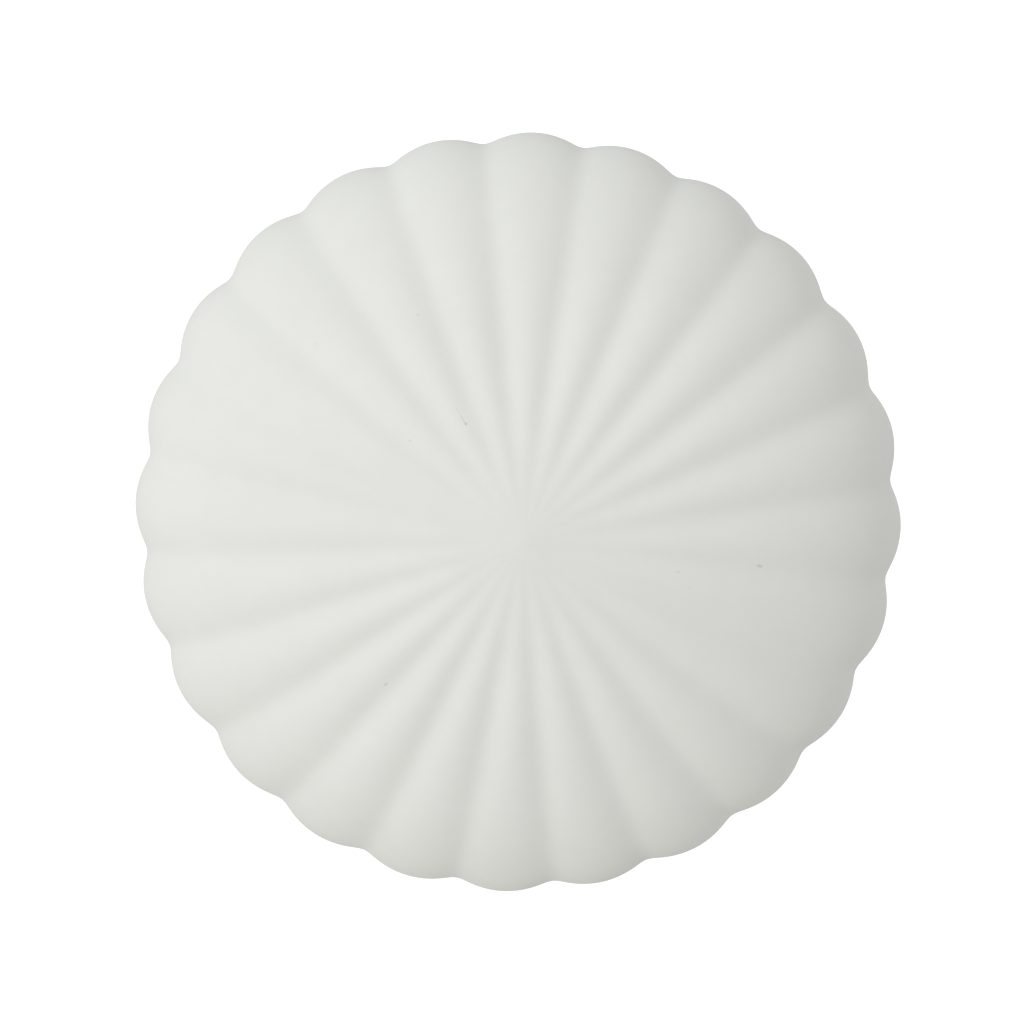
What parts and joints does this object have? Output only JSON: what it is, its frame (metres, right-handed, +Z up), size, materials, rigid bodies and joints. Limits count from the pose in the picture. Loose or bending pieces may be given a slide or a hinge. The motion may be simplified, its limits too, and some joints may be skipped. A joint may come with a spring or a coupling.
{
  "type": "wall sconce",
  "caption": "Back-lit wall sconce: a matte white fluted plaster dome that lifts off a steel hook, with plug-in lamps on a canopy screwed to the wall",
  "frame": {"origin": "middle between the two wall screws, on the wall's face", "axes": "+Z up, +Y into the wall, +X to the right of someone who faces the fitting; the fitting projects to -Y"},
  "size_m": [0.3048, 0.094, 0.3048],
  "materials": {
    "plaster": "matte",
    "white_steel": "satin",
    "zinc_steel": "satin",
    "brass": "satin",
    "rubber": "matte",
    "holder_ceramic": "satin",
    "lamp_base": "satin",
    "lamp_cover": "satin",
    "light_source": "matte",
    "block_plastic": "satin",
    "lead_live": "satin",
    "lead_neutral": "satin",
    "lead_earth": "satin"
  },
  "bodies": {
    "wall_frame": {"crossbar": "zinc_steel", "canopy_studs": "zinc_steel", "canopy": "white_steel", "cap_nuts": "zinc_steel", "upper_hook_bracket": "white_steel", "lower_rest_bracket": "white_steel", "bracket_screws": "zinc_steel", "bracket_nuts": "zinc_steel", "bumpers": "rubber", "lamp_bracket": "white_steel", "lamp_bracket_rivets": "zinc_steel", "lead_grommet": "rubber", "lampholder_left": "holder_ceramic", "lampholder_right": "holder_ceramic", "holder_contacts": "brass", "holder_screws": "zinc_steel", "terminal_block": "block_plastic", "terminal_tubes": "brass", "terminal_clamp_screws": "zinc_steel", "terminal_fixing_screw": "zinc_steel", "terminal_fixing_nut": "zinc_steel", "earth_ring": "brass", "earth_screw": "zinc_steel", "live_leads": "lead_live", "neutral_leads": "lead_neutral", "earth_lead": "lead_earth"},
    "dome": {"shell": "plaster", "anchor_inserts": "brass", "upper_hanger_plate": "zinc_steel", "lower_spacer_plate": "zinc_steel", "hanger_washers": "zinc_steel", "hanger_screws": "zinc_steel"},
    "left_lamp": {"left_bulb_base": "lamp_base", "left_bulb_envelope": "lamp_cover", "left_bulb_pins": "zinc_steel", "left_bulb_engine": "light_source"},
    "right_lamp": {"right_bulb_base": "lamp_base", "right_bulb_envelope": "lamp_cover", "right_bulb_pins": "zinc_steel", "right_bulb_engine": "light_source"}
  },
  "joints": [
    {"name": "shell_lift", "type": "slide", "parent": "wall_frame", "child": "dome", "axis": [0, -0.7071, 0.7071], "range_m": [0, 0.085]},
    {"name": "left_lamp_pull", "type": "slide", "parent": "wall_frame", "child": "left_lamp", "axis": [-1, 0, 0], "range_m": [0, 0.014]},
    {"name": "right_lamp_pull", "type": "slide", "parent": "wall_frame", "child": "right_lamp", "axis": [1, 0, 0], "range_m": [0, 0.014]}
  ]
}
